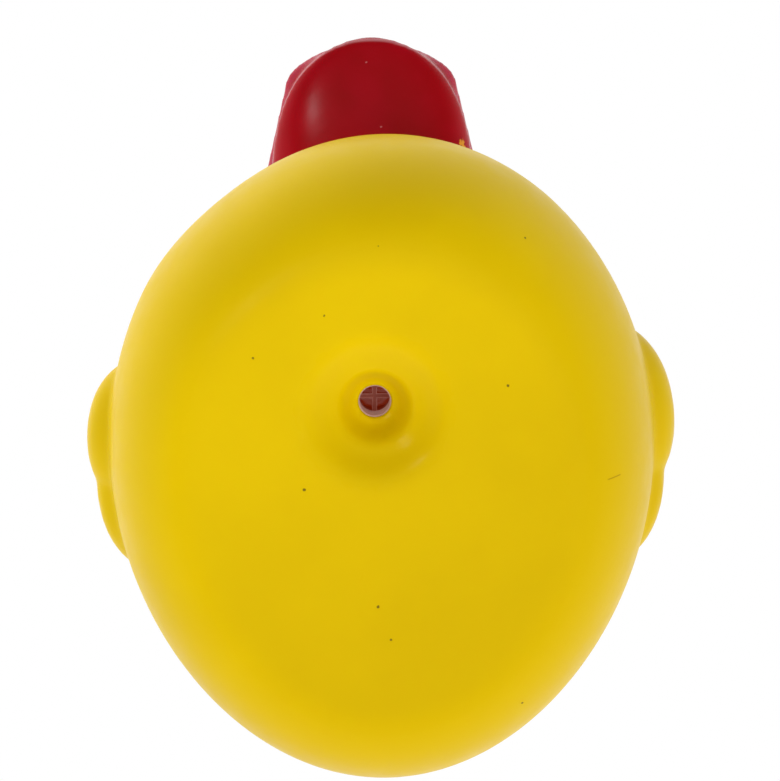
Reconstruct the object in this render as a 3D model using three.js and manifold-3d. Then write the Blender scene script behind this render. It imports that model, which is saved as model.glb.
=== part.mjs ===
// Bath duck: one hollow moulded vinyl shell, with a squeaker pressed into the hole of its base.
// Millimetres, +Z up. The duck stands on its base and faces -Y, and the origin is under its middle.

import * as THREE from 'three';
import { mergeVertices } from 'three/addons/utils/BufferGeometryUtils.js';
import Module from 'manifold-3d';

const wasm = await Module();
wasm.setup();

// Body
const bodyLength = 91;
const bodyWidth = 77;
const bodyTaper = 0.075; // how much narrower the tail end is than the breast
const girthHeight = 21; // where the belly is widest
const backHeight = 51; // the crown of the back, under the neck
const backForward = 9; // how far that crown lies in front of the middle of the body
const backFullness = 0.42; // lower is fuller shoulders
const baseLength = 62; // the flat oval that the duck stands on
const baseWidth = 51;
const wall = 2.2;

// Head and neck
const headDiameter = 47;
const crownHeight = 86;
const headForward = 13; // the middle of the head in front of the middle of the body
const neckDiameter = 39;
const neckFillet = 6; // how far the neck flares out into the shoulders
const neckLean = 7; // degrees

// Bill: a lower tongue under a broader upper one, open a little along the lips
const billReach = 16; // from the front of the head to the tip
const billWidth = 33.1;
const billAside = -0.3; // moulded a little off the middle
const billHeight = 57.5; // the line where the lips meet
const lowerBillDepth = 6.5;
const upperBillDepth = 8;
const lipGap = 2; // between the two rims
const billOverlap = 12; // how far the bill runs back into the head
const upperTipWidth = 24.3; // across the shoulders of the upper tip
const upperTipLength = 7;
const upperTipThickness = 2.4;

// Tail
const tailReach = 6; // beyond the end of the body
const tailHeight = 48; // the tip above the base
const tailWidth = 60;
const tailDepth = 40;
const tailTipWidth = 10;
const tailTipDepth = 4.5;
const tailSlimming = 1.12; // higher is a thinner tail on the same root
const tailHollow = 0.86; // how far along the tail the cavity runs, and the tip beyond is solid

// Wings: a shoulder pad with three feathers behind it, on each flank
const wingHeight = 29;
const wingBack = -2; // the middle of the shoulder pad, behind the middle of the body
const shoulderLength = 20;
const shoulderDepth = 18;
const shoulderRelief = 3.8;
const shoulderLead = { left: 0, right: 2.2 }; // the right one begins further forward
const shoulderExtra = { left: 0, right: 3.6 }; // and is longer
const featherCount = 3;
const featherLength = 19; // the lowest one, from the middle of the shoulder pad
const featherGrowth = 3; // each one above is longer by this
const featherDepth = 12.5;
const featherRelief = { left: 3.1, right: 2.8 };
const featherTilt = -8; // degrees, of the lowest
const featherFan = 15; // degrees from one to the next
const wingRoot = 3; // how deep the pads run into the flank

// Eyes
const eyeWidth = 7.5;
const eyeRelief = 0.9;
const eyeSide = 38; // degrees round from the bill
const eyeRise = 14; // degrees above the middle of the head

// Two-step recess in the base, with the round hole in its middle
const holeAhead = 11.55; // the hole in front of the middle of the body
const holeAside = -1.07;
const recessDiameter = 24;
const recessStepDiameter = 11.6;
const recessStepDepth = 2.6;
const recessDepth = 6.2;

// Squeaker
const mouthDiameter = 4.2; // the bore of its neck tube
const neckTubeWall = 0.4;
const drumDiameter = 11;
const drumHeight = 13;
const drumWall = 1;
const grilleRib = 0.65;
const grilleThickness = 0.8;
const grilleDepth = 3.1; // the cross behind the mouth
const sleeveHeight = 9; // how far the vinyl sleeve grips the drum
const sleeveWall = 1.6;
const fit = 0.3; // clearance between the squeaker and whatever is round it
const flangeThickness = 0.8;
const plugLength = 2.4;
const troughDiameter = 4.4;
const troughLength = 7;
const troughBore = 2;
const reedWidth = 3;
const reedThickness = 0.3;
const reedLength = 6.4;

// How finely the forms are cut into facets
const bodySides = 48;
const bodyRings = 8;
const headSides = 40;
const headRings = 13;
const billSides = 24;
const billRings = 11;
const tailSides = 24;
const tailRings = 10;
const padSides = 22;
const roundSides = 36;
const innerSides = 24;
const innerRings = 5;
const seamTolerance = 0.05; // slivers along the joins finer than this are merged away

const vinylYellow = { name: 'vinyl', color: 0xe6c200, roughness: 0.42, metalness: 0 };
const plasticLilac = { name: 'lilac', color: 0xa7806c, roughness: 0.35, metalness: 0 };
const plasticWhite = { name: 'white', color: 0xe4e0d8, roughness: 0.4, metalness: 0 };
const reedFilm = { name: 'film', color: 0xd9d4c2, roughness: 0.3, metalness: 0 };

// Solids

function toSolid(geometry) {
  const bare = geometry.clone();
  bare.deleteAttribute('normal');
  bare.deleteAttribute('uv');
  const merged = mergeVertices(bare, 1e-4);
  return new wasm.Manifold(new wasm.Mesh({
    numProp: 3,
    vertProperties: new Float32Array(merged.attributes.position.array),
    triVerts: new Uint32Array(merged.index.array),
  }));
}

function toGeometry(solid) {
  const mesh = solid.asOriginal().simplify(seamTolerance).getMesh();
  const geometry = new THREE.BufferGeometry();
  geometry.setAttribute('position', new THREE.BufferAttribute(mesh.vertProperties, 3));
  geometry.setIndex(new THREE.BufferAttribute(mesh.triVerts, 1));
  geometry.computeVertexNormals();
  return geometry;
}

function joined(solids) {
  return solids.reduce((whole, solid) => whole.add(solid));
}

// Skin over rings of equally many points, closed at both ends by a fan.
function loft(rings) {
  const count = rings[0].length;
  const points = rings.flat();
  const index = [];
  for (let ring = 0; ring < rings.length - 1; ring += 1) {
    for (let side = 0; side < count; side += 1) {
      const next = (side + 1) % count;
      const a = ring * count + side;
      const b = ring * count + next;
      index.push(a, b, b + count, a, b + count, a + count);
    }
  }
  const lastStart = (rings.length - 1) * count;
  const firstMiddle = points.push(middleOf(rings[0])) - 1;
  const lastMiddle = points.push(middleOf(rings[rings.length - 1])) - 1;
  for (let side = 0; side < count; side += 1) {
    const next = (side + 1) % count;
    index.push(firstMiddle, next, side);
    index.push(lastMiddle, lastStart + side, lastStart + next);
  }
  if (signedVolume(points, index) < 0) {
    index.reverse();
  }
  const geometry = new THREE.BufferGeometry().setFromPoints(points);
  geometry.setIndex(index);
  return toSolid(geometry);
}

function middleOf(ring) {
  const sum = ring.reduce((total, point) => total.add(point), new THREE.Vector3());
  return sum.divideScalar(ring.length);
}

function signedVolume(points, index) {
  let volume = 0;
  const cross = new THREE.Vector3();
  for (let k = 0; k < index.length; k += 3) {
    cross.crossVectors(points[index[k + 1]], points[index[k + 2]]);
    volume += points[index[k]].dot(cross) / 6;
  }
  return volume;
}

// A profile of [radius, height] pairs turned about a vertical line through (x, y).
function turned(profile, x, y, sides = roundSides) {
  const points = profile.map(([radius, height]) => new THREE.Vector2(radius, height));
  const geometry = new THREE.LatheGeometry(points, sides);
  geometry.rotateX(Math.PI / 2);
  geometry.translate(x, y, 0);
  const solid = toSolid(geometry);
  return solid.volume() < 0 ? toSolid(flipped(geometry)) : solid;
}

function flipped(geometry) {
  const copy = geometry.clone();
  copy.setIndex([...copy.index.array].reverse());
  return copy;
}

function block(width, length, bottom, top, x, y) {
  const geometry = new THREE.BoxGeometry(width, length, top - bottom);
  geometry.translate(x, y, (bottom + top) / 2);
  return toSolid(geometry);
}

function steps(count, from = 0, to = 1) {
  return Array.from({ length: count + 1 }, (_, k) => from + (to - from) * k / count);
}

function anglesOf(sides) {
  return Array.from({ length: sides }, (_, k) => 2 * Math.PI * k / sides);
}

// Falls from 1 to 0 as a quarter round over the last stretch before the tip.
function roundedEnd(t, start) {
  const past = Math.max(0, (t - start) / (1 - start));
  return Math.sqrt(Math.max(0, 1 - past * past));
}

// Body: level egg-shaped sections, from the flat base over the belly to the back.

function taperAt(share) {
  return 1 - bodyTaper * (0.5 + 0.5 * share) ** 2;
}

function bodySection(height) {
  if (height < girthHeight) {
    const drop = (girthHeight - height) / girthHeight;
    const swell = Math.sqrt(Math.max(0, 1 - drop * drop));
    return {
      halfLength: (baseLength + (bodyLength - baseLength) * swell) / 2,
      halfWidth: (baseWidth + (bodyWidth - baseWidth) * swell) / 2,
      middle: 0,
    };
  }
  const rise = (height - girthHeight) / (backHeight - girthHeight);
  const swell = Math.max(0, 1 - rise * rise) ** backFullness;
  return {
    halfLength: bodyLength / 2 * swell,
    halfWidth: bodyWidth / 2 * swell,
    middle: -backForward * rise ** 2,
  };
}

function bodyRing(halfLength, halfWidth, middle, height, sides) {
  return anglesOf(sides).map((a) => new THREE.Vector3(
    halfWidth * Math.cos(a) * taperAt(Math.sin(a)),
    middle + halfLength * Math.sin(a),
    height,
  ));
}

function bodySolid(inset, sides, rings) {
  const low = steps(rings, -Math.PI / 2, 0);
  const high = steps(rings, 0, 0.96 * Math.PI / 2).slice(1);
  const heights = [
    ...low.map((a) => girthHeight + girthHeight * Math.sin(a)),
    ...high.map((a) => girthHeight + (backHeight - girthHeight) * Math.sin(a)),
  ];
  const squeeze = (height) => girthHeight
    + (height - girthHeight) * (height < girthHeight
      ? (girthHeight - inset) / girthHeight
      : (backHeight - girthHeight - inset) / (backHeight - girthHeight));
  return loft(heights.map((height) => {
    const { halfLength, halfWidth, middle } = bodySection(height);
    return bodyRing(
      Math.max(halfLength - inset, 1),
      Math.max(halfWidth - inset, 1),
      middle,
      squeeze(height),
      sides,
    );
  }));
}

// Head and neck: one turned form, leaning forward a little.

function headSolid(inset, sides, rings) {
  const radius = headDiameter / 2 - inset;
  const neckRadius = neckDiameter / 2 - inset;
  const middle = crownHeight - headDiameter / 2;
  const chinAngle = -Math.acos(neckRadius / radius);
  const chin = middle + radius * Math.sin(chinAngle);
  const flare = steps(Math.ceil(rings / 3), 0, Math.PI / 2).map((a) => [
    neckRadius + neckFillet * (1 - Math.sin(a)),
    chin - neckFillet * Math.cos(a),
  ]);
  const ball = steps(rings, chinAngle, Math.PI / 2).slice(1).map((a) => [
    radius * Math.cos(a),
    middle + radius * Math.sin(a),
  ]);
  ball[ball.length - 1][0] = 0;
  const rim = neckRadius + neckFillet;
  const root = chin - 2 * neckFillet;
  const profile = [[0, root], [rim * 0.85, root], [rim, chin - neckFillet * 1.4], ...flare, ...ball];
  const solid = turned(profile, 0, 0, sides);
  return solid
    .translate([0, 0, -middle])
    .rotate([neckLean, 0, 0])
    .translate([0, -headForward, middle]);
}

// Bill: two tongues that share a root in the head.

function lowerBillShare(t) {
  return (1 - t ** 1.6) ** 0.55;
}

function upperBillHalfWidth(t, length) {
  const fromTip = (1 - t) * length;
  const tip = Math.max(0, 1 - (1 - Math.min(1, fromTip / upperTipLength)) ** 2) ** 0.72;
  const along = Math.max(0, fromTip - upperTipLength) / (length - upperTipLength);
  return tip * (upperTipWidth + (billWidth - upperTipWidth) * along) / 2;
}

function billRing(y, halfWidth, middle, up, down) {
  return anglesOf(billSides).map((a) => {
    const rise = Math.sin(a);
    const share = Math.abs(rise) ** 0.9;
    return new THREE.Vector3(
      billAside + halfWidth * Math.cos(a),
      y,
      middle + (rise > 0 ? up : -down) * share,
    );
  });
}

function billSolids() {
  const front = headForward + headDiameter / 2;
  const length = billReach + billOverlap;
  const root = -(front - billOverlap);
  const stations = steps(billRings).map((t) => 0.995 * Math.sin(t * Math.PI / 2));
  const lower = stations.map((t) => billRing(
    root - t * length,
    billWidth / 2 * lowerBillShare(t),
    billHeight - lipGap / 2,
    lipGap * 0.8,
    lowerBillDepth * (1 - t ** 2.2) + 0.4,
  ));
  const upper = stations.map((t) => billRing(
    root - t * (length - 0.6),
    upperBillHalfWidth(t, length),
    billHeight + lipGap / 2,
    (upperBillDepth - upperTipThickness) * (1 - t ** 1.2) + upperTipThickness * roundedEnd(t, 0.8),
    lipGap * 0.8 * roundedEnd(t, 0.9),
  ));
  return [loft(lower), loft(upper)];
}

// Tail: rings across a spine that sweeps up behind the back.

function tailSolid(inset, sides, rings, reach = 0.995) {
  const rump = bodyLength / 2;
  const spine = new THREE.CatmullRomCurve3([
    new THREE.Vector3(0, rump - 36, girthHeight + 1),
    new THREE.Vector3(0, rump - 20, girthHeight + 4),
    new THREE.Vector3(0, rump - 7, (girthHeight + tailHeight) / 2),
    new THREE.Vector3(0, rump + tailReach, tailHeight),
  ]);
  const across = new THREE.Vector3(1, 0, 0);
  return loft(steps(rings, 0, reach).map((t) => {
    const middle = spine.getPoint(t);
    const over = new THREE.Vector3().crossVectors(across, spine.getTangent(t));
    const slim = (1 - t) ** tailSlimming;
    const tip = roundedEnd(t, 0.86);
    const halfWidth = Math.max(0.3, (tailTipWidth + (tailWidth - tailTipWidth) * slim) / 2 * tip - inset);
    const halfDepth = Math.max(0.3, (tailTipDepth + (tailDepth - tailTipDepth) * slim) / 2 * tip - inset);
    return anglesOf(sides).map((a) => middle.clone()
      .addScaledVector(across, halfWidth * Math.cos(a))
      .addScaledVector(over, halfDepth * Math.sin(a)));
  }));
}

// Wings: oval pads that follow the flank and stand proud of it.

function flankAt(y, height) {
  const { halfLength, halfWidth, middle } = bodySection(height);
  const share = THREE.MathUtils.clamp((y - middle) / halfLength, -0.97, 0.97);
  return halfWidth * Math.sqrt(1 - share * share) * taperAt(share);
}

function padSolid(side, middle, length, depth, tilt, relief) {
  const turn = THREE.MathUtils.degToRad(tilt);
  const ring = (share, lift) => anglesOf(padSides).map((a) => {
    const along = share * length / 2 * Math.cos(a);
    const over = share * depth / 2 * Math.sin(a);
    const y = middle.y + along * Math.cos(turn) - over * Math.sin(turn);
    const z = middle.z + along * Math.sin(turn) + over * Math.cos(turn);
    return new THREE.Vector3(side * (flankAt(y, z) + lift), y, z);
  });
  const dome = [0.35, 0.7, 0.9, 1].map((share) => ring(share, relief * (1 - share ** 3) ** 0.7));
  return loft([...dome, ring(1, -wingRoot / 2), ring(0.9, -wingRoot)]);
}

function wingSolids(side) {
  const hand = side < 0 ? 'left' : 'right';
  const root = { y: wingBack - shoulderLead[hand], z: wingHeight };
  const length = shoulderLength + shoulderExtra[hand];
  const shoulder = padSolid(side, root, length, shoulderDepth, 0, shoulderRelief);
  const feathers = Array.from({ length: featherCount }, (_, k) => {
    const reach = featherLength + k * featherGrowth;
    const tilt = featherTilt + k * featherFan;
    const turn = THREE.MathUtils.degToRad(tilt);
    const middle = {
      y: wingBack + reach / 2 * Math.cos(turn),
      z: wingHeight + reach / 2 * Math.sin(turn),
    };
    return padSolid(side, middle, reach, featherDepth, tilt, featherRelief[hand]);
  });
  return [shoulder, ...feathers];
}

// Eyes: low oval domes.

function eyeSolid(side) {
  const geometry = new THREE.SphereGeometry(eyeWidth / 2, 20, 12);
  geometry.scale(1, 1, 1.15);
  geometry.scale(1, 2 * eyeRelief / eyeWidth, 1);
  geometry.rotateX(-THREE.MathUtils.degToRad(eyeRise));
  geometry.translate(0, -headDiameter / 2 * Math.cos(THREE.MathUtils.degToRad(eyeRise)), 0);
  geometry.translate(0, 0, headDiameter / 2 * Math.sin(THREE.MathUtils.degToRad(eyeRise)));
  geometry.rotateZ(side * THREE.MathUtils.degToRad(eyeSide));
  geometry.translate(0, -headForward, crownHeight - headDiameter / 2);
  return toSolid(geometry);
}

// Heights of the squeaker's pocket, one on top of the other.

const mouthRadius = mouthDiameter / 2;
const tubeRadius = mouthRadius + neckTubeWall;
const drumRadius = drumDiameter / 2;
const grilleBottom = recessDepth + grilleDepth;
const drumBottom = grilleBottom;
const pocketFloor = drumBottom - fit;
const drumTop = drumBottom + drumHeight;
const sleeveTop = pocketFloor + sleeveHeight;

function recessSolid() {
  const outer = recessDiameter / 2;
  const step = recessStepDiameter / 2;
  const throat = tubeRadius + fit;
  const soft = (t) => t * t * (3 - 2 * t);
  const first = steps(6).map((t) => [outer + (step - outer) * t, recessStepDepth * soft(t)]);
  const second = steps(6).slice(1).map((t) => [
    step + (throat - step) * t,
    recessStepDepth + (recessDepth - recessStepDepth) * soft(t),
  ]);
  return turned(
    [[0, -1], [outer, -1], ...first, ...second, [throat, pocketFloor + 1], [0, pocketFloor + 1]],
    holeAside,
    -holeAhead,
  );
}

// Vinyl left standing in the cavity: over the recess, and as the sleeve round the drum.
function pocketSolid() {
  const sleeveRadius = drumRadius + fit + sleeveWall;
  return turned([
    [0, 0],
    [recessDiameter / 2 + wall, 0],
    [recessDiameter / 2 + wall, wall],
    [sleeveRadius + 1, wall + recessStepDepth],
    [sleeveRadius, pocketFloor],
    [sleeveRadius, sleeveTop],
    [0, sleeveTop],
  ], holeAside, -holeAhead);
}

function drumBore() {
  const radius = drumRadius + fit;
  return turned([
    [0, pocketFloor],
    [radius, pocketFloor],
    [radius, sleeveTop + 1],
    [0, sleeveTop + 1],
  ], holeAside, -holeAhead);
}

function duckBody() {
  const outside = joined([
    bodySolid(0, bodySides, bodyRings),
    headSolid(0, headSides, headRings),
    tailSolid(0, tailSides, tailRings),
    ...billSolids(),
    ...wingSolids(-1),
    ...wingSolids(1),
    eyeSolid(-1),
    eyeSolid(1),
  ]);
  const inside = joined([
    bodySolid(wall, innerSides, innerRings),
    headSolid(wall, innerSides, innerRings + 2),
    tailSolid(wall, innerSides, innerRings, tailHollow),
  ]);
  const cavity = inside.subtract(pocketSolid()).add(drumBore());
  return outside.subtract(cavity).subtract(recessSolid());
}

// Squeaker

function squeakerHousing() {
  const tubeBottom = recessDepth + fit;
  const floorTop = grilleBottom + grilleThickness;
  const cup = turned([
    [mouthRadius, tubeBottom],
    [tubeRadius, tubeBottom],
    [tubeRadius, drumBottom],
    [drumRadius, drumBottom],
    [drumRadius, drumTop],
    [drumRadius - drumWall, drumTop],
    [drumRadius - drumWall, floorTop],
    [mouthRadius, floorTop],
    [mouthRadius, tubeBottom],
  ], holeAside, -holeAhead);
  const reach = 2 * mouthRadius + neckTubeWall;
  const ribs = [
    block(reach, grilleRib, grilleBottom, floorTop, holeAside, -holeAhead),
    block(grilleRib, reach, grilleBottom, floorTop, holeAside, -holeAhead),
  ];
  return joined([cup, ...ribs]);
}

function reedHolder() {
  const plugRadius = drumRadius - drumWall - fit;
  const plugBottom = drumTop - plugLength;
  const troughTop = plugBottom + 0.5;
  const troughBottom = plugBottom - troughLength;
  const cap = turned([
    [0, plugBottom],
    [plugRadius, plugBottom],
    [plugRadius, drumTop],
    [drumRadius, drumTop],
    [drumRadius, drumTop + flangeThickness],
    [0, drumTop + flangeThickness],
  ], holeAside, -holeAhead);
  const rod = turned([
    [0, troughBottom],
    [troughDiameter / 2, troughBottom],
    [troughDiameter / 2, troughTop],
    [0, troughTop],
  ], holeAside, -holeAhead);
  const half = block(
    troughDiameter * 2,
    troughDiameter,
    troughBottom - 1,
    plugBottom,
    holeAside,
    -holeAhead - troughDiameter / 2,
  );
  const bore = turned([
    [0, troughBottom + 1],
    [troughBore / 2, troughBottom + 1],
    [troughBore / 2, drumTop + flangeThickness + 1],
    [0, drumTop + flangeThickness + 1],
  ], holeAside, -holeAhead);
  return cap.add(rod.subtract(half)).subtract(bore);
}

function reedTongue() {
  const plugBottom = drumTop - plugLength;
  return block(
    reedWidth,
    reedThickness,
    plugBottom - reedLength,
    plugBottom,
    holeAside,
    -holeAhead - reedThickness / 2,
  );
}

// Assembly

function piece(name, solid, finish) {
  const mesh = new THREE.Mesh(toGeometry(solid), new THREE.MeshStandardMaterial(finish));
  mesh.name = name;
  return mesh;
}

const duck = new THREE.Group();
duck.name = 'rubber_duck';
duck.add(
  piece('duck_body', duckBody(), vinylYellow),
  piece('squeaker_housing', squeakerHousing(), plasticLilac),
  piece('reed_holder', reedHolder(), plasticWhite),
  piece('reed_tongue', reedTongue(), reedFilm),
);

const centre = new THREE.Box3().setFromObject(duck).getCenter(new THREE.Vector3());
duck.position.set(-centre.x, -centre.y, 0);

export default duck;
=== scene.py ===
# Squeaking bath duck in satin yellow vinyl with a painted bill, seen from under its base.
# Lengths in the dictionaries are millimetres, turned into metres where the meshes are made.
import math

import bpy
import numpy as np
from mathutils import Matrix, Vector


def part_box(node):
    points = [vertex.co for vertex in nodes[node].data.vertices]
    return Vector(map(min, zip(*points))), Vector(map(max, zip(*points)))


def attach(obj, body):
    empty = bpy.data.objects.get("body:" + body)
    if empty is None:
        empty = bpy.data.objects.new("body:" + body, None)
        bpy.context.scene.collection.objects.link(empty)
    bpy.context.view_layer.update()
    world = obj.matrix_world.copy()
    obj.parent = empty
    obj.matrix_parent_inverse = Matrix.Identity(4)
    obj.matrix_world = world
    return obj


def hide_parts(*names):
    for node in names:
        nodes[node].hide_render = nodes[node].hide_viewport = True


mm = 0.001
quarter = math.pi / 2
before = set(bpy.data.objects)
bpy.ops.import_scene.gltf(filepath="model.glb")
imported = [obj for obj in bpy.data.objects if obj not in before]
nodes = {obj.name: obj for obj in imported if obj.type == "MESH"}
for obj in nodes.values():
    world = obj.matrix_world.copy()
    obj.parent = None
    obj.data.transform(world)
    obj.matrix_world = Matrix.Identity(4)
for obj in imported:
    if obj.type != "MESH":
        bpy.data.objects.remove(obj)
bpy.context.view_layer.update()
print("frame read:", len(nodes), "nodes")

duck = {
    "bodyLength": 91,
    "bodyWidth": 77,
    "bodyTaper": 0.075,  # how much narrower the tail end is
    "girthHeight": 21,
    "backHeight": 51,
    "backForward": 9,
    "backFullness": 0.42,
    "baseLength": 62,
    "baseWidth": 51,
    "frontEase": 0.8,  # the front of the body is a little flatter than an oval, more so on the left
    "frontSkew": 1.3,
    "frontStart": 0.5,  # shares of the half length, where it begins and over which it grows
    "frontFade": 0.4,
    "closing": 0.98,  # share of a quarter turn at which the back closes
    "wall": 2.2,
    "headDiameter": 47,
    "crownHeight": 85.95,  # keeps the softened crown inside the CAD's box
    "headForward": 13,
    "headClosing": 0.985,
    "neckDiameter": 39,
    "neckFillet": 6,
    "neckLean": 7,
    "voxel": 0.62,  # finer makes the skin's mesh too heavy
    "softening": 5,
}

# Recess and hole in the base
recess = {
    "ahead": 11.55,  # hole in front of the middle of the body
    "aside": -1.07,
    "diameter": 24,
    "stepDiameter": 11.6,
    "stepDepth": 2.6,
    "stepEase": 1.5,
    "depth": 6.2,
    "throat": 5.05,
    "lip": 4.5,  # the soft lip laps over the end of the squeaker's tube
    "pocketFloor": 9.0,
    "bore": 11.6,
    "sleeveTop": 18.0,
    "sleeveWall": 1.6,
    "rings": 16,
    "sides": 128,
    "throatSides": 96,
}

# Sides round each large form and rings along it, on the skin and in the hollow
fineness = {
    "skin": {"body": (192, 48), "head": (160, 60), "tail": (72, 60)},
    "hollow": {"body": (72, 14), "head": (64, 20), "tail": (32, 14)},
    "squeaker": 64,
}

# Middle of the head, in the duck's own place
headMiddle = np.array([0, -duck["headForward"], duck["crownHeight"] - duck["headDiameter"] / 2])

# The squeaker says where the hole stands in the frame, and so where the duck stands
housingLow, housingHigh = (Vector(corner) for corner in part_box("squeaker_housing"))
holeX = (housingLow.x + housingHigh.x) / 2 / mm
holeY = (housingLow.y + housingHigh.y) / 2 / mm
duckAt = np.array([holeX - recess["aside"], holeY + recess["ahead"], 0.0])


# Mesh helpers
def stepsOf(count, first=0.0, last=1.0):
    return np.linspace(first, last, count + 1)


def ringAngles(sides):
    return np.arange(sides) * 2 * math.pi / sides


def roundedEnd(t, start):
    past = max(0.0, (t - start) / (1 - start))
    return math.sqrt(max(0.0, 1 - past * past))


def softStep(t):
    return t * t * (3 - 2 * t)


def signedVolume(mesh):
    mesh.calc_loop_triangles()
    points = np.empty(len(mesh.vertices) * 3)
    mesh.vertices.foreach_get("co", points)
    points = points.reshape(-1, 3)
    tris = np.empty(len(mesh.loop_triangles) * 3, dtype=np.int32)
    mesh.loop_triangles.foreach_get("vertices", tris)
    a, b, c = (points[tris.reshape(-1, 3)[:, k]] for k in range(3))
    return float(np.einsum("ij,ij->i", a, np.cross(b, c)).sum() / 6)


def linked(name, data):
    thing = bpy.data.objects.new(name, data)
    bpy.context.scene.collection.objects.link(thing)
    return thing


# Skin over rings of equally many points, in the duck's own place
def loftObject(name, rings):
    rings = np.array(rings, dtype=float)
    ringCount, sides, _ = rings.shape
    points = rings.reshape(-1, 3) + duckAt
    faces = []
    for ring in range(ringCount - 1):
        for side in range(sides):
            a = ring * sides + side
            b = ring * sides + (side + 1) % sides
            faces.append((a, b, b + sides, a + sides))
    faces.append(tuple(reversed(range(sides))))
    faces.append(tuple(range((ringCount - 1) * sides, ringCount * sides)))
    mesh = bpy.data.meshes.new(name)
    mesh.from_pydata((points * mm).tolist(), [], faces)
    mesh.update()
    if signedVolume(mesh) < 0:
        mesh.flip_normals()
    return linked(name, mesh)


# A profile of radius and height turned about the upright line through the hole
def turnedForm(name, profile, sides):
    angles = ringAngles(sides)
    rings = []
    for radius, height in profile:
        x = radius * np.cos(angles) + recess["aside"]
        y = radius * np.sin(angles) - recess["ahead"]
        rings.append(np.stack([x, y, np.full(sides, height)], axis=1))
    return loftObject(name, rings)


def applied(thing):
    graph = bpy.context.evaluated_depsgraph_get()
    fresh = bpy.data.meshes.new_from_object(thing.evaluated_get(graph))
    old = thing.data
    thing.modifiers.clear()
    thing.data = fresh
    bpy.data.meshes.remove(old)


def carve(thing, tool, operation):
    cut = thing.modifiers.new("carve", "BOOLEAN")
    cut.operation = operation
    cut.solver = "MANIFOLD"
    cut.object = tool
    applied(thing)
    bpy.data.objects.remove(tool)


def joinAll(things):
    whole = things[0]
    for thing in things[1:]:
        carve(whole, thing, "UNION")
    return whole


# Body: level egg-shaped sections from the flat base over the belly to the back
def taperAt(share):
    return 1 - duck["bodyTaper"] * (0.5 + 0.5 * share) ** 2


def bodySection(height):
    girth = duck["girthHeight"]
    if height < girth:
        drop = (girth - height) / girth
        swell = math.sqrt(max(0.0, 1 - drop * drop))
        halfLength = (duck["baseLength"] + (duck["bodyLength"] - duck["baseLength"]) * swell) / 2
        halfWidth = (duck["baseWidth"] + (duck["bodyWidth"] - duck["baseWidth"]) * swell) / 2
        return halfLength, halfWidth, 0.0
    rise = (height - girth) / (duck["backHeight"] - girth)
    swell = max(0.0, 1 - rise * rise) ** duck["backFullness"]
    return duck["bodyLength"] / 2 * swell, duck["bodyWidth"] / 2 * swell, -duck["backForward"] * rise ** 2


def bodyForm(inset, sides, rings):
    girth = duck["girthHeight"]
    back = duck["backHeight"]
    turns = list(stepsOf(rings, -quarter, 0)) + list(stepsOf(rings, 0, duck["closing"] * quarter)[1:])
    angles = ringAngles(sides)
    front = np.clip((-np.sin(angles) - duck["frontStart"]) / duck["frontFade"], 0, 1)
    eased = softStep(front) * np.maximum(duck["frontEase"] - duck["frontSkew"] * np.cos(angles), 0)
    out = []
    for turn in turns:
        room = girth if turn < 0 else back - girth
        halfLength, halfWidth, middle = bodySection(girth + room * math.sin(turn))
        halfLength = max(halfLength - inset, 1)
        halfWidth = max(halfWidth - inset, 1)
        height = girth + (room - inset) * math.sin(turn)
        across = halfWidth * np.cos(angles) * taperAt(np.sin(angles))
        along = middle + halfLength * np.sin(angles) + eased * halfLength / (duck["bodyLength"] / 2)
        out.append(np.stack([across, along, np.full(sides, height)], axis=1))
    return loftObject("body_form", out)


# Head and neck: one turned form that leans forward a little
def headForm(inset, sides, rings):
    radius = duck["headDiameter"] / 2 - inset
    neck = duck["neckDiameter"] / 2 - inset
    middle = float(headMiddle[2])
    fillet = duck["neckFillet"]
    chinTurn = -math.acos(neck / radius)
    chin = middle + radius * math.sin(chinTurn)
    # the first two rings reach down into the body
    profile = [(0.85 * (neck + fillet), chin - 2 * fillet), (neck + fillet, chin - 1.4 * fillet)]
    for a in stepsOf(rings // 3, 0, quarter):
        profile.append((neck + fillet * (1 - math.sin(a)), chin - fillet * math.cos(a)))
    for a in stepsOf(rings, chinTurn, duck["headClosing"] * quarter)[1:]:
        profile.append((radius * math.cos(a), middle + radius * math.sin(a)))
    lean = math.radians(duck["neckLean"])
    angles = ringAngles(sides)
    out = []
    for r, z in profile:
        y = r * np.sin(angles)
        up = z - middle
        leaned = y * math.cos(lean) - up * math.sin(lean) - duck["headForward"]
        raised = y * math.sin(lean) + up * math.cos(lean) + middle
        out.append(np.stack([r * np.cos(angles), leaned, raised], axis=1))
    return loftObject("head_form", out)


# Bill: a lower tongue under a broader upper one
bill = {
    "reach": 15.9,  # keeps the softened tip inside the CAD's box
    "width": 34.3,  # the softening takes a little off the rims
    "lowerWidth": 29.4,
    "aside": -0.3,
    "height": 57.5,  # where the lips meet
    "lowerDepth": 6.5,
    "lowerRim": 0.4,
    "upperDepth": 8,
    "upperSetBack": 0.6,
    "lipGap": 2,
    "lipFill": 0.8,  # share of the gap that each lip fills
    "overlap": 12,
    "tipWidth": 24.8,
    "tipLength": 7,
    "tipThickness": 2.4,
    "sides": 96,
    "rings": 60,
}

# Exponents and shares that draw the outline of the lips
lipCurve = {
    "closing": 0.998,
    "lowerOutline": 3.2,
    "lowerFall": 2.2,
    "upperOutline": 0.72,
    "upperFall": 1.2,
    "section": 0.9,
    "tipStart": 0.8,
    "slitStart": 0.9,
}


def lowerShare(t):
    return max(0.0, 1 - t ** lipCurve["lowerOutline"]) ** 0.5


def upperHalfWidth(t, length):
    fromTip = (1 - t) * length
    short = 1 - min(1.0, fromTip / bill["tipLength"])
    tip = max(0.0, 1 - short ** 2) ** lipCurve["upperOutline"]
    along = max(0.0, fromTip - bill["tipLength"]) / (length - bill["tipLength"])
    return tip * (bill["tipWidth"] + (bill["width"] - bill["tipWidth"]) * along) / 2


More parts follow.
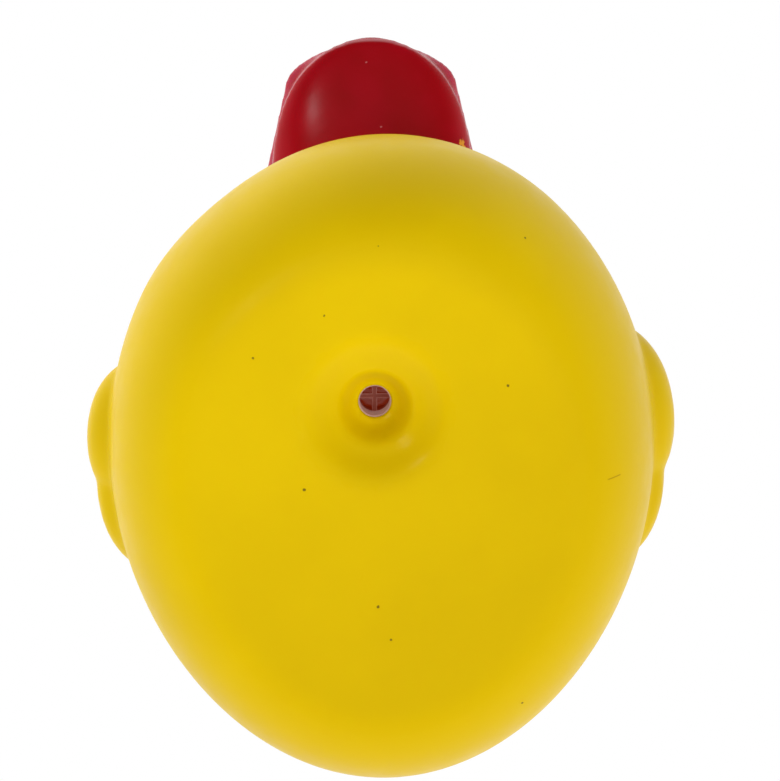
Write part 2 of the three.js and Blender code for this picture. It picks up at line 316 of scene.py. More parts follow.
def billRing(y, halfWidth, middle, up, down):
    angles = ringAngles(bill["sides"])
    rise = np.sin(angles)
    across = bill["aside"] + halfWidth * np.cos(angles)
    height = middle + np.where(rise > 0, up, -down) * np.abs(rise) ** lipCurve["section"]
    return np.stack([across, np.full(bill["sides"], y), height], axis=1)


def billForms():
    length = bill["reach"] + bill["overlap"]
    root = -(duck["headForward"] + duck["headDiameter"] / 2 - bill["overlap"])
    gap = bill["lipGap"]
    thick = bill["tipThickness"]
    slope = bill["upperDepth"] - thick
    lower = []
    upper = []
    for turn in stepsOf(bill["rings"], 0, quarter):
        t = lipCurve["closing"] * math.sin(turn)
        lower.append(billRing(
            root - t * length,
            bill["lowerWidth"] / 2 * lowerShare(t),
            bill["height"] - gap / 2,
            gap * bill["lipFill"],
            bill["lowerDepth"] * (1 - t ** lipCurve["lowerFall"]) + bill["lowerRim"],
        ))
        upper.append(billRing(
            root - t * (length - bill["upperSetBack"]),
            upperHalfWidth(t, length),
            bill["height"] + gap / 2,
            slope * (1 - t ** lipCurve["upperFall"]) + thick * roundedEnd(t, lipCurve["tipStart"]),
            gap * bill["lipFill"] * roundedEnd(t, lipCurve["slitStart"]),
        ))
    return [loftObject("lower_bill_form", lower), loftObject("upper_bill_form", upper)]


# Tail: rings across a spine that sweeps up behind the back
tail = {
    "reach": 6,
    "height": 48,
    "width": 60,
    "depth": 40,
    "tipWidth": 10,
    "tipDepth": 4.5,
    "slimming": 1.12,
    "rootAhead": 36,  # the spine starts this far inside the rump
    "rootRise": 1,
    "rumpAhead": 20,
    "rumpRise": 4,
    "sweepAhead": 7,
    "roundedFrom": 0.86,
    "reachShare": 0.995,
    "hollowShare": 0.86,  # the tip beyond this share of its length is solid
    "thinnest": 0.3,
}


def splinePoint(points, t):
    span = min(int(t * (len(points) - 1)), len(points) - 2)
    u = t * (len(points) - 1) - span
    p1 = points[span]
    p2 = points[span + 1]
    p0 = points[span - 1] if span > 0 else 2 * p1 - p2
    p3 = points[span + 2] if span + 2 < len(points) else 2 * p2 - p1
    bend = (2 * p0 - 5 * p1 + 4 * p2 - p3) * u ** 2 + (3 * p1 - p0 - 3 * p2 + p3) * u ** 3
    return 0.5 * (2 * p1 + (p2 - p0) * u + bend)


def tailForm(inset, sides, rings, reach):
    rump = duck["bodyLength"] / 2
    girth = duck["girthHeight"]
    spine = [
        np.array([0, rump - tail["rootAhead"], girth + tail["rootRise"]], dtype=float),
        np.array([0, rump - tail["rumpAhead"], girth + tail["rumpRise"]], dtype=float),
        np.array([0, rump - tail["sweepAhead"], (girth + tail["height"]) / 2], dtype=float),
        np.array([0, rump + tail["reach"], tail["height"]], dtype=float),
    ]
    angles = ringAngles(sides)
    near = 0.004
    out = []
    for t in stepsOf(rings, 0, reach):
        heading = splinePoint(spine, min(t + near, 1)) - splinePoint(spine, max(t - near, 0))
        over = np.cross([1, 0, 0], heading / np.linalg.norm(heading))
        slim = (1 - t) ** tail["slimming"]
        tip = roundedEnd(t, tail["roundedFrom"])
        width = (tail["tipWidth"] + (tail["width"] - tail["tipWidth"]) * slim) * tip
        depth = (tail["tipDepth"] + (tail["depth"] - tail["tipDepth"]) * slim) * tip
        across = np.outer(max(tail["thinnest"], width / 2 - inset) * np.cos(angles), [1, 0, 0])
        upright = np.outer(max(tail["thinnest"], depth / 2 - inset) * np.sin(angles), over)
        out.append(splinePoint(spine, t) + across + upright)
    return loftObject("tail_form", out)


# Wings: oval pads that follow the flank and stand proud of it
wing = {
    "height": 29,
    "back": -2,
    "shoulderLength": {"left": 20, "right": 23.6},
    "shoulderLead": {"left": 0, "right": 2.2},
    "shoulderDepth": 18,
    "shoulderRelief": 3.8,
    "featherCount": 3,
    "featherLength": 19,
    "featherGrowth": 3,
    "featherDepth": 12.5,
    "featherRelief": {"left": 3.1, "right": 2.8},
    "featherTilt": -8,
    "featherFan": 15,
    "root": 3,
    "domeEdge": 3,  # exponents of the pads' profile: flat on top, steep at the edge
    "domeRound": 0.7,
    "flankEnd": 0.97,
    "rings": 24,
    "sides": 72,
}


def flankAt(y, height):
    out = np.empty(len(y))
    for k in range(len(y)):
        halfLength, halfWidth, middle = bodySection(height[k])
        share = min(max((y[k] - middle) / halfLength, -wing["flankEnd"]), wing["flankEnd"])
        out[k] = halfWidth * math.sqrt(1 - share * share) * taperAt(share)
    return out


def padForm(side, middleY, middleZ, length, depth, tilt, relief):
    turn = math.radians(tilt)
    angles = ringAngles(wing["sides"])

    def ring(share, lift):
        along = share * length / 2 * np.cos(angles)
        over = share * depth / 2 * np.sin(angles)
        y = middleY + along * math.cos(turn) - over * math.sin(turn)
        z = middleZ + along * math.sin(turn) + over * math.cos(turn)
        return np.stack([side * (flankAt(y, z) + lift), y, z], axis=1)

    dome = []
    for share in stepsOf(wing["rings"], 0.05, 1):
        dome.append(ring(share, relief * (1 - share ** wing["domeEdge"]) ** wing["domeRound"]))
    return loftObject("wing_form", dome + [ring(1, -wing["root"] / 2), ring(0.9, -wing["root"])])


def wingForms(side):
    hand = "left" if side < 0 else "right"
    out = [padForm(side, wing["back"] - wing["shoulderLead"][hand], wing["height"],
                   wing["shoulderLength"][hand], wing["shoulderDepth"], 0, wing["shoulderRelief"])]
    for k in range(wing["featherCount"]):
        length = wing["featherLength"] + k * wing["featherGrowth"]
        tilt = wing["featherTilt"] + k * wing["featherFan"]
        middleY = wing["back"] + length / 2 * math.cos(math.radians(tilt))
        middleZ = wing["height"] + length / 2 * math.sin(math.radians(tilt))
        relief = wing["featherRelief"][hand]
        out.append(padForm(side, middleY, middleZ, length, wing["featherDepth"], tilt, relief))
    return out


# Eyes: low oval domes on the head
eye = {
    "width": 7.5,
    "height": 8.6,
    "relief": 0.9,
    "side": 38,  # degrees round from the bill
    "rise": 14,
    "closing": 0.97,
    "rings": 16,
    "sides": 48,
    "white": {"width": 7.0, "height": 8.1, "shift": (0.0, 0.0)},
    "pupil": {"width": 4.9, "height": 6.3, "shift": (-0.4, -0.5)},
    "glint": {"width": 1.5, "height": 1.7, "shift": (-1.0, 1.3)},
    "paintReach": (8.0, 9.0),
}


def eyeAxes(side):
    turn = math.radians(eye["side"]) * side
    rise = math.radians(eye["rise"])
    outward = np.array([math.sin(turn) * math.cos(rise), -math.cos(turn) * math.cos(rise), math.sin(rise)])
    across = np.array([math.cos(turn), math.sin(turn), 0.0])
    over = np.cross(outward, across)
    return headMiddle + outward * duck["headDiameter"] / 2, outward, across, over * np.sign(over[2])


def eyeForm(side):
    middle, outward, across, over = eyeAxes(side)
    angles = ringAngles(eye["sides"])
    out = []
    for turn in stepsOf(eye["rings"], -eye["closing"] * quarter, eye["closing"] * quarter):
        swell = math.cos(turn)
        ring = np.outer(swell * eye["width"] / 2 * np.cos(angles), across)
        ring = ring + np.outer(swell * eye["height"] / 2 * np.sin(angles), over)
        out.append(middle + ring + outward * eye["relief"] * math.sin(turn))
    return loftObject("eye_form", out)


# Recess: two soft steps down to the hole
def recessForm():
    outer = recess["diameter"] / 2
    step = recess["stepDiameter"] / 2
    throat = recess["throat"] / 2
    profile = [(outer + 0.3, -1), (outer, 0)]
    for t in stepsOf(recess["rings"])[1:]:
        height = recess["stepDepth"] * softStep(t ** recess["stepEase"])
        profile.append((outer + (step - outer) * t, height))
    for t in stepsOf(recess["rings"])[1:]:
        height = recess["stepDepth"] + (recess["depth"] - recess["stepDepth"]) * softStep(t)
        profile.append((step + (throat - step) * t, height))
    return turnedForm("recess_form", profile, recess["sides"])


# Body, head and tail, one wall further in for the hollow
def bulkForms(kind, inset, tailReach):
    fine = fineness[kind]
    return [
        bodyForm(inset, *fine["body"]),
        headForm(inset, *fine["head"]),
        tailForm(inset, *fine["tail"], tailReach),
    ]


# Hollow inside, with the vinyl left standing round the squeaker
def hollowForm():
    wall = duck["wall"]
    sides = fineness["squeaker"]
    hollow = joinAll(bulkForms("hollow", wall, tail["hollowShare"]))
    sleeve = recess["bore"] / 2 + recess["sleeveWall"]
    rim = recess["diameter"] / 2 + wall
    pocket = turnedForm("pocket_form", [
        (rim, 0),
        (rim, wall),
        (sleeve + 1, wall + recess["stepDepth"]),
        (sleeve, recess["pocketFloor"]),
        (sleeve, recess["sleeveTop"]),
    ], sides)
    carve(hollow, pocket, "DIFFERENCE")
    radius = recess["bore"] / 2
    bore = [(radius, recess["pocketFloor"]), (radius, recess["sleeveTop"] + 1)]
    carve(hollow, turnedForm("bore_form", bore, sides), "UNION")
    return hollow


# Cutter for the hole, which leaves a soft lip over the end of the squeaker's tube
def throatForm():
    throat = recess["throat"] / 2
    lip = recess["lip"] / 2
    depth = recess["depth"]
    return turnedForm("throat_form", [
        (throat + 0.35, depth - 0.6),
        (lip + 0.15, depth - 0.1),
        (lip, depth + 0.1),
        (lip, depth + 0.25),
        (throat, depth + 0.28),
        (throat, recess["pocketFloor"] + 1),
    ], recess["throatSides"])


def buildDuck():
    forms = bulkForms("skin", 0, tail["reachShare"])
    forms += billForms() + wingForms(-1) + wingForms(1) + [eyeForm(-1), eyeForm(1)]
    skin = joinAll(forms)
    carve(skin, recessForm(), "DIFFERENCE")
    skin.name = "duck_skin"
    print("forms joined:", len(skin.data.polygons), "faces")
    grid = skin.modifiers.new("grid", "REMESH")
    grid.mode = "VOXEL"
    grid.voxel_size = duck["voxel"] * mm
    soft = skin.modifiers.new("soft", "SMOOTH")
    soft.factor = 0.5
    soft.iterations = duck["softening"]
    applied(skin)
    for vertex in skin.data.vertices:
        vertex.co.z = max(vertex.co.z, 0.0)
    print("skin softened:", len(skin.data.polygons), "faces")
    carve(skin, hollowForm(), "DIFFERENCE")
    carve(skin, throatForm(), "DIFFERENCE")
    skin.data.polygons.foreach_set("use_smooth", [True] * len(skin.data.polygons))
    print("hollowed:", len(skin.data.polygons), "faces")
    return skin


duckSkin = buildDuck()
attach(duckSkin, "root")
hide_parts("duck_body")


# Finishes
finish = {
    "yellow": (0.80, 0.548, 0.0),
    "yellowShaded": (0.69, 0.462, 0.0),
    "orange": (0.82, 0.34, 0.02),
    "red": (0.42, 0.0, 0.008),
    "redDeep": (0.37, 0.0, 0.004),
    "redUpperSheen": (0.50, 0.03, 0.07),
    "redDustAndRimHighlight": (0.66, 0.25, 0.28),
    "eyeWhite": (0.8, 0.8, 0.78),
    "eyeBlack": (0.008, 0.008, 0.009),
    "scratched": (0.46, 0.27, 0.0),
    "grime": (0.09, 0.05, 0.01),
    "lilac": (0.50, 0.31, 0.27),
    "ribShade": (0.12, 0.022, 0.010),
    # painted glow colour of the squeaker and the reed inside the duck
    "inside": (0.36, 0.026, 0.004),
    "reedPlastic": (0.78, 0.74, 0.68),
    "reedFilm": (0.72, 0.68, 0.58),
}


# Shader helpers
def boardOf(name):
    material = bpy.data.materials.new(name)
    material.use_nodes = True
    tree = material.node_tree
    return material, tree, tree.nodes["Principled BSDF"]


def wire(tree, source, target):
    if isinstance(source, (int, float)):
        target.default_value = source
    elif isinstance(source, (tuple, list, np.ndarray)):
        values = tuple(float(value) for value in source)
        if len(target.default_value) == 4 and len(values) == 3:
            values += (1.0,)
        target.default_value = values
    else:
        tree.links.new(source, target)


def calc(tree, operation, *inputs):
    node = tree.nodes.new("ShaderNodeMath")
    node.operation = operation
    for k, value in enumerate(inputs):
        wire(tree, value, node.inputs[k])
    return node.outputs[0]


def vectorCalc(tree, operation, first, second=None, scale=None):
    node = tree.nodes.new("ShaderNodeVectorMath")
    node.operation = operation
    wire(tree, first, node.inputs[0])
    if second is not None:
        wire(tree, second, node.inputs[1])
    if scale is not None:
        wire(tree, scale, node.inputs["Scale"])
    return node.outputs["Value"] if operation in ("DISTANCE", "LENGTH", "DOT_PRODUCT") else node.outputs[0]


# Noise stays between the first two values nearly everywhere, and mostly between the second two
noiseSpan = (0.3, 0.7)
noiseCore = (0.35, 0.65)


def noiseNode(tree, place, scale, detail=2.0):
    node = tree.nodes.new("ShaderNodeTexNoise")
    wire(tree, place, node.inputs["Vector"])
    node.inputs["Scale"].default_value = scale
    node.inputs["Detail"].default_value = detail
    return node


def noise(tree, place, scale, detail=2.0):
    return noiseNode(tree, place, scale, detail).outputs["Fac"]


# The place shifted a little by noise in each direction, to roughen the outline of a spot
def shaken(tree, place, scale, reach):
    grain = vectorCalc(tree, "SUBTRACT", noiseNode(tree, place, scale).outputs["Color"], (0.5, 0.5, 0.5))
    return vectorCalc(tree, "ADD", place, vectorCalc(tree, "SCALE", grain, scale=reach))


def ramp(tree, value, low, high, outLow=0.0, outHigh=1.0):
    node = tree.nodes.new("ShaderNodeMapRange")
    node.interpolation_type = "SMOOTHSTEP"
    for socket, given in zip(node.inputs, (value, low, high, outLow, outHigh)):
        wire(tree, given, socket)
    return node.outputs[0]


def blendColour(tree, share, first, second, kind="MIX"):
    node = tree.nodes.new("ShaderNodeMix")
    node.data_type = "RGBA"
    node.blend_type = kind
    wire(tree, share, node.inputs[0])
    wire(tree, first, node.inputs[6])
    wire(tree, second, node.inputs[7])
    return node.outputs[2]


def placeInMm(tree):
    place = tree.nodes.new("ShaderNodeTexCoord").outputs["Object"]
    return vectorCalc(tree, "SCALE", place, scale=1 / mm)


def partsOf(tree, place):
    node = tree.nodes.new("ShaderNodeSeparateXYZ")
    tree.links.new(place, node.inputs[0])
    return node.outputs


def bumpFrom(tree, height, distance, shader):
    node = tree.nodes.new("ShaderNodeBump")
    node.inputs["Distance"].default_value = distance * mm
    wire(tree, height, node.inputs["Height"])
    tree.links.new(node.outputs["Normal"], shader.inputs["Normal"])


# Marks on the vinyl and the bill: place in the duck's own millimetres, then the radius
marks = {
    "specks": (
        ((16.9, -15.0, 0.0), 0.12),
        ((-10.9, -0.9, 0.0), 0.14),
        ((-1.1, 15.8, 0.0), 0.12),
        ((0.6, 20.5, 0.0), 0.10),
        ((18.6, 30.9, 3.4), 0.12),
        ((-17.5, -19.4, 0.0), 0.08),
        ((-7.8, -25.1, 0.0), 0.07),
        ((19.6, -34.0, 6.2), 0.08),
        ((-0.4, -34.5, 0.7), 0.08),
    ),
    "scuffs": (((-8.1, 1.0, 0.0), 1.3), ((5.7, 16.6, 0.0), 1.6), ((31.3, -1.2, 2.9), 1.4)),
    "scratch": {
        "middle": (31.3, -1.2, 2.9),
        "heading": (0.735, -0.1, 0.67),
        "across": (0.073, 0.995, 0.069),
        "half": 1.5,
        "width": 0.05,
        "fade": 0.08,
        "depth": (2.5, 3.0),  # nothing further from its middle is scratched
    },
    "fleck": ((12.0, -37.2, 54.6), 0.85),
    "dust": (((-1.0, -49.2, 54.6), 0.09), ((-7.0, -42.8, 53.0), 0.08), ((1.0, -40.4, 51.5), 0.09)),
    "fade": {"specks": 0.14, "scuffs": 1.2, "fleck": 0.15, "dust": 0.1},
    "strength": {"specks": 0.85, "scuffs": 0.2, "dust": 0.6},
}


def inFrame(point):
    return np.array(point) + duckAt


def spotAt(tree, place, point, radius, softness):
    gap = vectorCalc(tree, "DISTANCE", place, inFrame(point))
    return ramp(tree, gap, radius, radius + softness, 1.0, 0.0)


def spotsOf(tree, place, spots, softness):
    total = None
    for point, radius in spots:
        spot = spotAt(tree, place, point, radius, softness)
        total = spot if total is None else calc(tree, "MAXIMUM", total, spot)
    return total


# Thin straight line on the flank
def scratchOf(tree, place):
    given = marks["scratch"]
    offset = vectorCalc(tree, "SUBTRACT", place, inFrame(given["middle"]))
    along = vectorCalc(tree, "DOT_PRODUCT", offset, given["heading"])
    aside = calc(tree, "ABSOLUTE", vectorCalc(tree, "DOT_PRODUCT", offset, given["across"]))
    inLine = ramp(tree, aside, given["width"], given["width"] + given["fade"], 1.0, 0.0)
    inReach = ramp(tree, calc(tree, "ABSOLUTE", along), given["half"] - 0.5, given["half"], 1.0, 0.0)
    onFlank = ramp(tree, vectorCalc(tree, "LENGTH", offset), *given["depth"], 1.0, 0.0)
    return calc(tree, "MULTIPLY", calc(tree, "MULTIPLY", inLine, inReach), onFlank)


# Paint of the bill: off the head, ahead of its middle and above the neck
paint = {
    "waver": 0.4,
    "waverScale": 0.3,
    "offHead": (0.45, 0.7),
    "ahead": (17.0, 17.5),
    "above": (49.3, 49.8),
    "cloudScale": 0.12,
    "lipBlend": 0.3,
    "upperSheenShare": 0.7,
    "rimDrop": 0.1,
    "rimHighlightFade": (0.12, 0.5),
    "rimHighlightShare": 0.6,
}


# One where the paint of the bill covers the vinyl, with a slightly uneven edge
def billPaint(tree, place, parts):
    middle = inFrame(headMiddle)
    fromHead = vectorCalc(tree, "DISTANCE", place, middle)
    grain = noise(tree, place, paint["waverScale"])
    waver = calc(tree, "MULTIPLY_ADD", grain, paint["waver"], -paint["waver"] / 2)
    radius = duck["headDiameter"] / 2
    beyond = ramp(tree, calc(tree, "ADD", fromHead, waver), *(radius + off for off in paint["offHead"]))
    ahead = ramp(tree, parts[1], *(middle[1] - ahead for ahead in paint["ahead"]))
    above = ramp(tree, parts[2], *paint["above"])
    return calc(tree, "MULTIPLY", beyond, calc(tree, "MULTIPLY", ahead, above))


# Red of the bill: clouded, with painted sheen that makes the upper lip paler, and a painted highlight line
# along the rim of the lower lip
def billRed(tree, place, parts):
    clouds = ramp(tree, noise(tree, place, paint["cloudScale"]), *noiseCore)
    tone = blendColour(tree, clouds, finish["red"], finish["redDeep"])
    slit = bill["height"]
    # painted sheen: the upper lip is blended towards a paler pink
    upper = ramp(tree, parts[2], slit - paint["lipBlend"], slit + paint["lipBlend"], 0.0, paint["upperSheenShare"])
    tone = blendColour(tree, upper, tone, finish["redUpperSheen"])
    # painted highlight: a pale pink line along the rim of the lower lip
    rim = slit - bill["lipGap"] / 2 - paint["rimDrop"]
    fromRim = calc(tree, "ABSOLUTE", calc(tree, "SUBTRACT", parts[2], rim))
    rimHighlight = ramp(tree, fromRim, *paint["rimHighlightFade"], paint["rimHighlightShare"], 0.0)
    return blendColour(tree, rimHighlight, tone, finish["redDustAndRimHighlight"])


# Oval mask on the eye, the same on both sides of the head
def eyePaint(tree, place, oval):
    middle, outward, across, over = eyeAxes(1)
    middle = middle + across * oval["shift"][0] + over * oval["shift"][1]
    mirrored = vectorCalc(tree, "ABSOLUTE", vectorCalc(tree, "SUBTRACT", place, (duckAt[0], 0.0, 0.0)))
    halves = partsOf(tree, mirrored)
    straight = partsOf(tree, place)
    folded = tree.nodes.new("ShaderNodeCombineXYZ")
    tree.links.new(halves[0], folded.inputs[0])
    tree.links.new(straight[1], folded.inputs[1])
    tree.links.new(straight[2], folded.inputs[2])
    offset = vectorCalc(tree, "SUBTRACT", folded.outputs[0], middle + np.array([0, duckAt[1], 0]))
    u = calc(tree, "DIVIDE", vectorCalc(tree, "DOT_PRODUCT", offset, across), oval["width"] / 2)
    v = calc(tree, "DIVIDE", vectorCalc(tree, "DOT_PRODUCT", offset, over), oval["height"] / 2)
    reach = calc(tree, "SQRT", calc(tree, "ADD", calc(tree, "MULTIPLY", u, u), calc(tree, "MULTIPLY", v, v)))
    inside = ramp(tree, reach, 0.97, 1.03, 1.0, 0.0)
    near = ramp(tree, vectorCalc(tree, "LENGTH", offset), *eye["paintReach"], 1.0, 0.0)
    return calc(tree, "MULTIPLY", inside, near)


# Surface of the vinyl: pairs are a low and a high value, lengths in millimetres
vinyl = {
    "cloudScale": 0.045,
    "cloudDepth": 0.25,
    "slant": 0.7,  # painted shade: the yellow darkens towards the tail, and sooner on the side of the right wing
    "deepens": (-30.0, 35.0),
    "deepestShade": 0.9,
    "satinScale": 0.3,
    "satin": (0.33, 0.4),
    "smoothNearHole": (9.0, 13.0),
    "smoother": 0.15,
    "paintedRoughness": 0.24,
    "specular": 0.06,
    "coat": 0.22,
    "coatRoughness": 0.24,
    "throughLight": 0.2,
    "throughReach": (1.0, 0.7, 0.1),
    "throughDepth": 2.5,
    "grainScale": 2.2,
    "grainHeight": 0.012,
}


def vinylFinish():
    material, tree, shader = boardOf("duck_vinyl")
    place = placeInMm(tree)
    parts = partsOf(tree, place)
    fade = marks["fade"]
    strength = marks["strength"]

    # yellow with slow clouds in it and painted shade towards the tail, marked a little where it stands
    clouds = noise(tree, place, vinyl["cloudScale"], 3.0)
    clouds = ramp(tree, clouds, *noiseCore, 0.0, vinyl["cloudDepth"])
    slant = calc(tree, "MULTIPLY_ADD", parts[0], vinyl["slant"], parts[1])
    shadeTowardsTail = ramp(tree, slant, *vinyl["deepens"], 0.0, vinyl["deepestShade"])
    colour = blendColour(tree, calc(tree, "ADD", clouds, shadeTowardsTail), finish["yellow"], finish["yellowShaded"])
    ragged = shaken(tree, place, 3.5, 0.3)
    specks = spotsOf(tree, ragged, marks["specks"], fade["specks"])
    specks = calc(tree, "MULTIPLY", specks, strength["specks"])
    colour = blendColour(tree, specks, colour, finish["grime"])
    colour = blendColour(tree, scratchOf(tree, place), colour, finish["scratched"])

    # painted bill with dust on it and a chip at its root
    red = billPaint(tree, place, parts)
    tone = billRed(tree, place, parts)
    dust = spotsOf(tree, ragged, marks["dust"], fade["dust"])
    dust = calc(tree, "MULTIPLY", dust, strength["dust"])
    tone = blendColour(tree, dust, tone, finish["redDustAndRimHighlight"])
    bare = spotAt(tree, shaken(tree, place, 0.9, 1.6), *marks["fleck"], fade["fleck"])
    colour = blendColour(tree, red, colour, blendColour(tree, bare, tone, finish["orange"]))

    # painted eyes
    pupil = eyePaint(tree, place, eye["pupil"])
    colour = blendColour(tree, eyePaint(tree, place, eye["white"]), colour, finish["eyeWhite"])
    colour = blendColour(tree, pupil, colour, finish["eyeBlack"])
    colour = blendColour(tree, eyePaint(tree, place, eye["glint"]), colour, finish["eyeWhite"])
    tree.links.new(colour, shader.inputs["Base Color"])

    # satin, duller where it is scuffed and a little smoother in the recess where nothing rubs it
    scuffs = spotsOf(tree, place, marks["scuffs"], fade["scuffs"])
    scuffs = calc(tree, "MULTIPLY", scuffs, noise(tree, place, 1.6, 4.0))
    satin = ramp(tree, noise(tree, place, vinyl["satinScale"], 3.0), *noiseSpan, *vinyl["satin"])
    fromHole = vectorCalc(tree, "DISTANCE", place, (holeX, holeY, 0.0))
    sheltered = ramp(tree, fromHole, *vinyl["smoothNearHole"], vinyl["smoother"], 0.0)
    satin = calc(tree, "SUBTRACT", satin, sheltered)
    satin = calc(tree, "ADD", satin, calc(tree, "MULTIPLY", scuffs, strength["scuffs"]))
    gloss = calc(tree, "MAXIMUM", red, pupil)
    roughness = ramp(tree, gloss, 0.0, 1.0, satin, vinyl["paintedRoughness"])
    tree.links.new(roughness, shader.inputs["Roughness"])
    shader.inputs["Specular IOR Level"].default_value = vinyl["specular"]
    tree.links.new(calc(tree, "MULTIPLY", gloss, vinyl["coat"]), shader.inputs["Coat Weight"])
    shader.inputs["Coat Roughness"].default_value = vinyl["coatRoughness"]
    shader.inputs["Subsurface Weight"].default_value = vinyl["throughLight"]
    shader.inputs["Subsurface Radius"].default_value = vinyl["throughReach"]
    shader.inputs["Subsurface Scale"].default_value = vinyl["throughDepth"] * mm
    grain = calc(tree, "ADD", noise(tree, place, vinyl["grainScale"]), scuffs)
    bumpFrom(tree, grain, vinyl["grainHeight"], shader)
    return material


# The squeaker is lilac at its mouth; deeper in, its cross is painted a dull red-brown as painted shade, with
# a painted highlight along the edges of its ribs.
# All of it, and the reed, is given a faint painted glow (emission) standing in for the warm light that the
# thin vinyl lets into the duck; none of them is a lamp.
squeaker = {
    "crossShadeBlend": 0.4,
    "ribHalfWidth": 0.29,
    "ribHighlightFade": (0.03, 0.1),
    "ribHighlightShare": 0.55,
    "grain": (0.85, 1.0),
    "paintedGlowBlend": 0.25,
    # strength of the painted glow, for the squeaker and the reed
    "glow": 0.2,
    "roughness": 0.4,
    "specular": 0.15,
}


def housingFinish():
    material, tree, shader = boardOf("squeaker_plastic")
    place = placeInMm(tree)
    parts = partsOf(tree, place)
    mouth = recess["pocketFloor"]
    # painted shade: deeper than the mouth the plastic turns dull red-brown
    depth = ramp(tree, parts[2], mouth, mouth + squeaker["crossShadeBlend"])
    colour = blendColour(tree, depth, finish["lilac"], finish["ribShade"])
    acrossRib = calc(tree, "ABSOLUTE", calc(tree, "SUBTRACT", parts[0], holeX))
    alongRib = calc(tree, "ABSOLUTE", calc(tree, "SUBTRACT", parts[1], holeY))
    nearer = calc(tree, "MINIMUM", acrossRib, alongRib)
    fromEdge = calc(tree, "ABSOLUTE", calc(tree, "SUBTRACT", nearer, squeaker["ribHalfWidth"]))
    # painted highlight: a pale lilac line along both edges of each rib of the cross
    edge = ramp(tree, fromEdge, *squeaker["ribHighlightFade"], squeaker["ribHighlightShare"], 0.0)
    colour = blendColour(tree, calc(tree, "MULTIPLY", depth, edge), colour, finish["lilac"])
    grain = ramp(tree, noise(tree, place, 1.5, 3.0), *noiseSpan, *squeaker["grain"])
    tree.links.new(blendColour(tree, 1.0, colour, grain, "MULTIPLY"), shader.inputs["Base Color"])
    # painted glow: faint emission, lilac at the mouth and red-brown deeper in
    paintedGlowShare = ramp(tree, parts[2], mouth, mouth + squeaker["paintedGlowBlend"])
    glow = blendColour(tree, paintedGlowShare, finish["lilac"], finish["inside"])
    tree.links.new(glow, shader.inputs["Emission Color"])
    shader.inputs["Emission Strength"].default_value = squeaker["glow"]
    shader.inputs["Roughness"].default_value = squeaker["roughness"]
    shader.inputs["Specular IOR Level"].default_value = squeaker["specular"]
    return material


reed = {
    "grain": (0.9, 1.0),
    "roughness": 0.35,
}


def reedFinish(name, colour):
    material, tree, shader = boardOf(name)
    grain = ramp(tree, noise(tree, placeInMm(tree), 1.0, 3.0), *noiseSpan, *reed["grain"])
    tree.links.new(blendColour(tree, 1.0, colour, grain, "MULTIPLY"), shader.inputs["Base Color"])
    # painted glow: faint red-brown emission, standing in for light that comes in through the vinyl
    shader.inputs["Emission Color"].default_value = (*finish["inside"], 1.0)
    shader.inputs["Emission Strength"].default_value = squeaker["glow"]
    shader.inputs["Roughness"].default_value = reed["roughness"]
    return material


def dress(thing, material):
    thing.data.materials.clear()
    thing.data.materials.append(material)


dress(duckSkin, vinylFinish())
dress(nodes["squeaker_housing"], housingFinish())
dress(nodes["reed_holder"], reedFinish("reed_plastic", finish["reedPlastic"]))
dress(nodes["reed_tongue"], reedFinish("reed_film", finish["reedFilm"]))
print("dressed: vinyl, squeaker and reed")


# Camera, under the duck and a little towards the bill
camera = {
    "place": (-11.5, -208.31, -772.32),
    "aim": (0.93, -14.28, 0.0),
    "roll": -0.754,
    "focalPixels": 5895.7,
    "frameWidth": 780,
    "sensor": 36,
    "near": 0.01,  # metres, as far
    "far": 20,
}


def placeCamera():
    data = bpy.data.cameras.new("photo_camera")
    thing = linked("photo_camera", data)
    place = Vector(camera["place"]) * mm
    look = (Vector(camera["aim"]) * mm - place).normalized()
    right = look.cross(Vector((0, -1, 0))).normalized()
    up = right.cross(look)
    roll = math.radians(camera["roll"])
    across = right * math.cos(roll) + up * math.sin(roll)
    over = up * math.cos(roll) - right * math.sin(roll)
    thing.matrix_world = Matrix((
        (across.x, over.x, -look.x, place.x),
        (across.y, over.y, -look.y, place.y),
        (across.z, over.z, -look.z, place.z),
        (0, 0, 0, 1),
    ))
    data.sensor_fit = "HORIZONTAL"
    data.sensor_width = camera["sensor"]
    data.lens = camera["focalPixels"] * data.sensor_width / camera["frameWidth"]
    data.clip_start = camera["near"]
    data.clip_end = camera["far"]
    bpy.context.scene.camera = thing


# Plain soft studio: a pale sky that is dimmer below, and discs of light, most of them under the base
studio = {
    "skyGlow": (0.22, 1.1),
    "skyRange": (-0.75, 0.2),
    "skyTilt": 0.42,
    "aim": (0, 0, 20),
    "floorHalf": 3000,
    "floorDrop": 0.05,
    "floorTone": (0.84, 0.86),
}
lamps = {
    "fill": {"place": (0, -60, -900), "size": 1500, "power": 3.5, "mirrored": False},
    "under": {"place": (470, 230, -680), "size": 480, "power": 3.0, "mirrored": False},
    "side": {"place": (-740, 60, -240), "size": 420, "power": 1.1, "mirrored": False},
    "spark": {"place": (-420, -330, -590), "size": 110, "power": 0.55, "mirrored": True},
    "top": {"place": (-380, -420, 700), "size": 500, "power": 3.0, "mirrored": False},
}


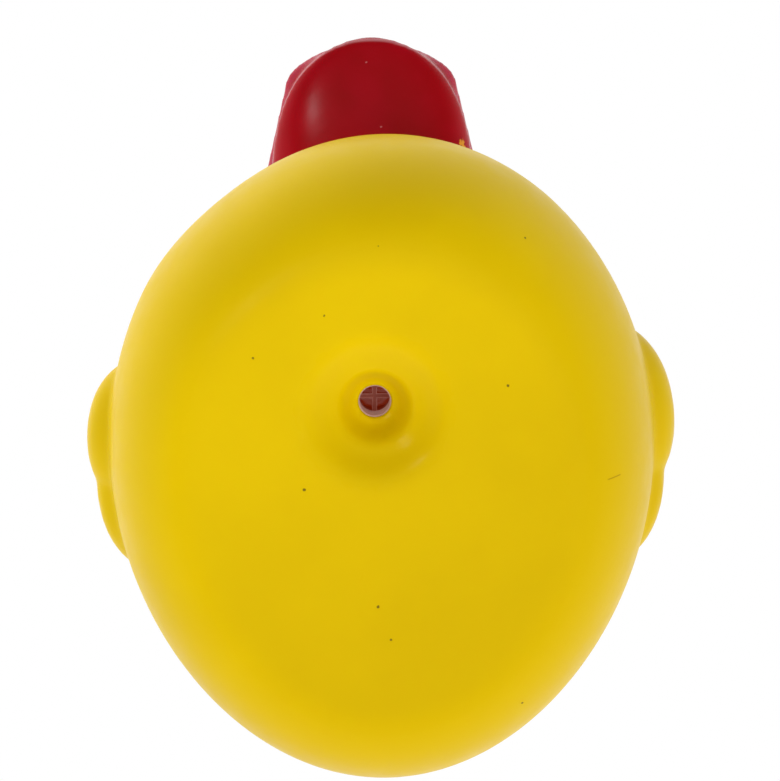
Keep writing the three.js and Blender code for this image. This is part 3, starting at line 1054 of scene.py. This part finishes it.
def lightSky():
    world = bpy.data.worlds.new("studio")
    bpy.context.scene.world = world
    world.use_nodes = True
    tree = world.node_tree
    backdrop = tree.nodes["Background"]
    backdrop.inputs["Color"].default_value = (1, 1, 1, 1)
    glow = tree.nodes.new("ShaderNodeBackground")
    glow.inputs["Color"].default_value = (1, 1, 1, 1)
    heading = partsOf(tree, tree.nodes.new("ShaderNodeTexCoord").outputs["Generated"])
    height = calc(tree, "MULTIPLY_ADD", heading[1], studio["skyTilt"], heading[2])
    sky = ramp(tree, height, *studio["skyRange"], *studio["skyGlow"])
    tree.links.new(sky, glow.inputs["Strength"])
    mix = tree.nodes.new("ShaderNodeMixShader")
    tree.links.new(tree.nodes.new("ShaderNodeLightPath").outputs["Is Camera Ray"], mix.inputs[0])
    tree.links.new(glow.outputs[0], mix.inputs[1])
    tree.links.new(backdrop.outputs[0], mix.inputs[2])
    tree.links.new(mix.outputs[0], tree.nodes["World Output"].inputs["Surface"])
    bpy.context.scene.view_settings.view_transform = "Standard"


def softbox(name, given):
    data = bpy.data.lights.new(name, "AREA")
    data.shape = "DISK"
    data.size = given["size"] * mm
    data.energy = given["power"]
    thing = linked(name, data)
    place = Vector(given["place"]) * mm
    thing.location = place
    thing.rotation_euler = (Vector(studio["aim"]) * mm - place).to_track_quat("-Z", "Y").to_euler()
    thing.visible_glossy = given["mirrored"]


# Pale floor that is seen from above only, so that the base stays in view from below
def layFloor():
    half = studio["floorHalf"] * mm
    drop = studio["floorDrop"] * mm
    corners = [(x * half, y * half, -drop) for x, y in ((-1, -1), (1, -1), (1, 1), (-1, 1))]
    mesh = bpy.data.meshes.new("floor")
    mesh.from_pydata(corners, [], [(0, 1, 2, 3)])
    floor = linked("floor", mesh)
    material, tree, shader = boardOf("floor_paper")
    grain = noise(tree, tree.nodes.new("ShaderNodeTexCoord").outputs["Object"], 1.5)
    tree.links.new(ramp(tree, grain, *noiseSpan, *studio["floorTone"]), shader.inputs["Base Color"])
    shader.inputs["Roughness"].default_value = 0.9
    clear = tree.nodes.new("ShaderNodeBsdfTransparent")
    mix = tree.nodes.new("ShaderNodeMixShader")
    tree.links.new(tree.nodes.new("ShaderNodeNewGeometry").outputs["Backfacing"], mix.inputs[0])
    tree.links.new(shader.outputs[0], mix.inputs[1])
    tree.links.new(clear.outputs[0], mix.inputs[2])
    tree.links.new(mix.outputs[0], tree.nodes["Material Output"].inputs["Surface"])
    dress(floor, material)
    floor.visible_shadow = False
    floor.visible_diffuse = False
    floor.visible_glossy = False


placeCamera()
lightSky()
for lampName, lamp in lamps.items():
    softbox(lampName, lamp)
layFloor()
print("camera, lights and floor placed")
